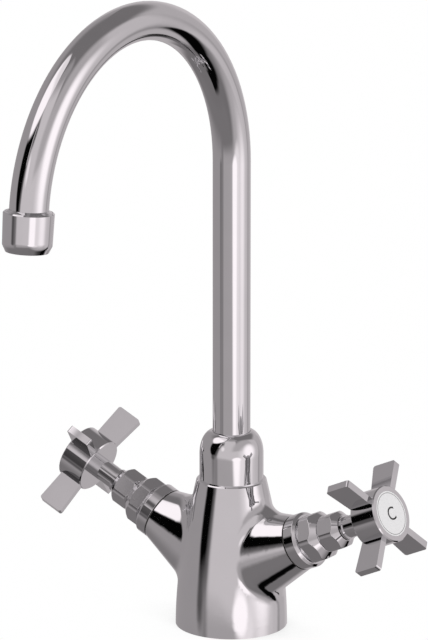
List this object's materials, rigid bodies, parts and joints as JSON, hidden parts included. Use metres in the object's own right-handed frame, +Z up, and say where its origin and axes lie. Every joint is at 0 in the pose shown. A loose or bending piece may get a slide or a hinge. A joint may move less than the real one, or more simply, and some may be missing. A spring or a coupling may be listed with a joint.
{
  "type": "kitchen mixer tap",
  "caption": "Deck-mounted kitchen mixer tap with a swivelling gooseneck spout, aerator and cross handles on rising-spindle valves.",
  "frame": {"origin": "centre of the underside of the body, on the spout's swivel axis, where the tap stands on the sink deck", "axes": "+Z up along the swivel axis, +X towards the cold valve, -Y towards the sink, which is where the spout points at rest"},
  "size_m": [0.1964, 0.1998, 0.3177],
  "materials": {
    "chrome": "polished chrome plating over cast or turned brass",
    "brass": "turned brass, unplated",
    "black_rubber": "moulded rubber",
    "white_plastic": "moulded acetal",
    "steel_mesh": "stainless steel",
    "dark_fibre": "pressed fibre, dark",
    "white_enamel": "glossy white disc"
  },
  "bodies": {
    "mixer": {"mixer_body": "chrome", "base_seal": "black_rubber", "spout_collar": "chrome", "spout_glide_ring": "white_plastic", "cold_bonnet": "chrome", "cold_bonnet_washer": "dark_fibre", "cold_gland_nut": "chrome", "cold_gland_packing": "black_rubber", "hot_bonnet": "chrome", "hot_bonnet_washer": "dark_fibre", "hot_gland_nut": "chrome", "hot_gland_packing": "black_rubber"},
    "spout": {"spout_tube": "chrome", "spout_bush": "brass", "spout_o_rings": "black_rubber", "spout_nipple": "chrome", "aerator_housing": "chrome", "aerator_washer": "black_rubber", "aerator_insert": "white_plastic", "aerator_mesh": "steel_mesh"},
    "cold_jumper_valve": {"cold_jumper": "brass", "cold_seat_washer": "black_rubber", "cold_washer_nut": "brass"},
    "cold_cross_handle": {"cold_spindle": "brass", "cold_handle": "chrome", "cold_handle_screw": "steel_mesh", "cold_index_cap": "chrome", "cold_index_disc": "white_enamel"},
    "hot_jumper_valve": {"hot_jumper": "brass", "hot_seat_washer": "black_rubber", "hot_washer_nut": "brass"},
    "hot_cross_handle": {"hot_spindle": "brass", "hot_handle": "chrome", "hot_handle_screw": "steel_mesh", "hot_index_cap": "chrome", "hot_index_disc": "white_enamel"}
  },
  "joints": [
    {"name": "spout_swivel", "type": "hinge", "parent": "mixer", "child": "spout", "pos_m": [0, 0, 0.0725], "axis": [0, 0, 1], "continuous": true},
    {"name": "cold_lift", "type": "slide", "parent": "mixer", "child": "cold_jumper_valve", "axis": [0.91, 0, 0.4147], "range_m": [0, 0.00425]},
    {"name": "cold_turn", "type": "hinge", "parent": "cold_jumper_valve", "child": "cold_cross_handle", "pos_m": [0, 0, 0.0291], "axis": [0.91, 0, 0.4147], "range_deg": [0, 765]},
    {"name": "hot_lift", "type": "slide", "parent": "mixer", "child": "hot_jumper_valve", "axis": [-0.91, 0, 0.4147], "range_m": [0, 0.00425]},
    {"name": "hot_turn", "type": "hinge", "parent": "hot_jumper_valve", "child": "hot_cross_handle", "pos_m": [0, 0, 0.0291], "axis": [-0.91, 0, 0.4147], "range_deg": [0, 765]}
  ],
  "couplings": [
    {"joint": "cold_lift", "follows": "cold_turn", "m_per_rad": 0.0003183},
    {"joint": "hot_lift", "follows": "hot_turn", "m_per_rad": 0.0003183}
  ]
}
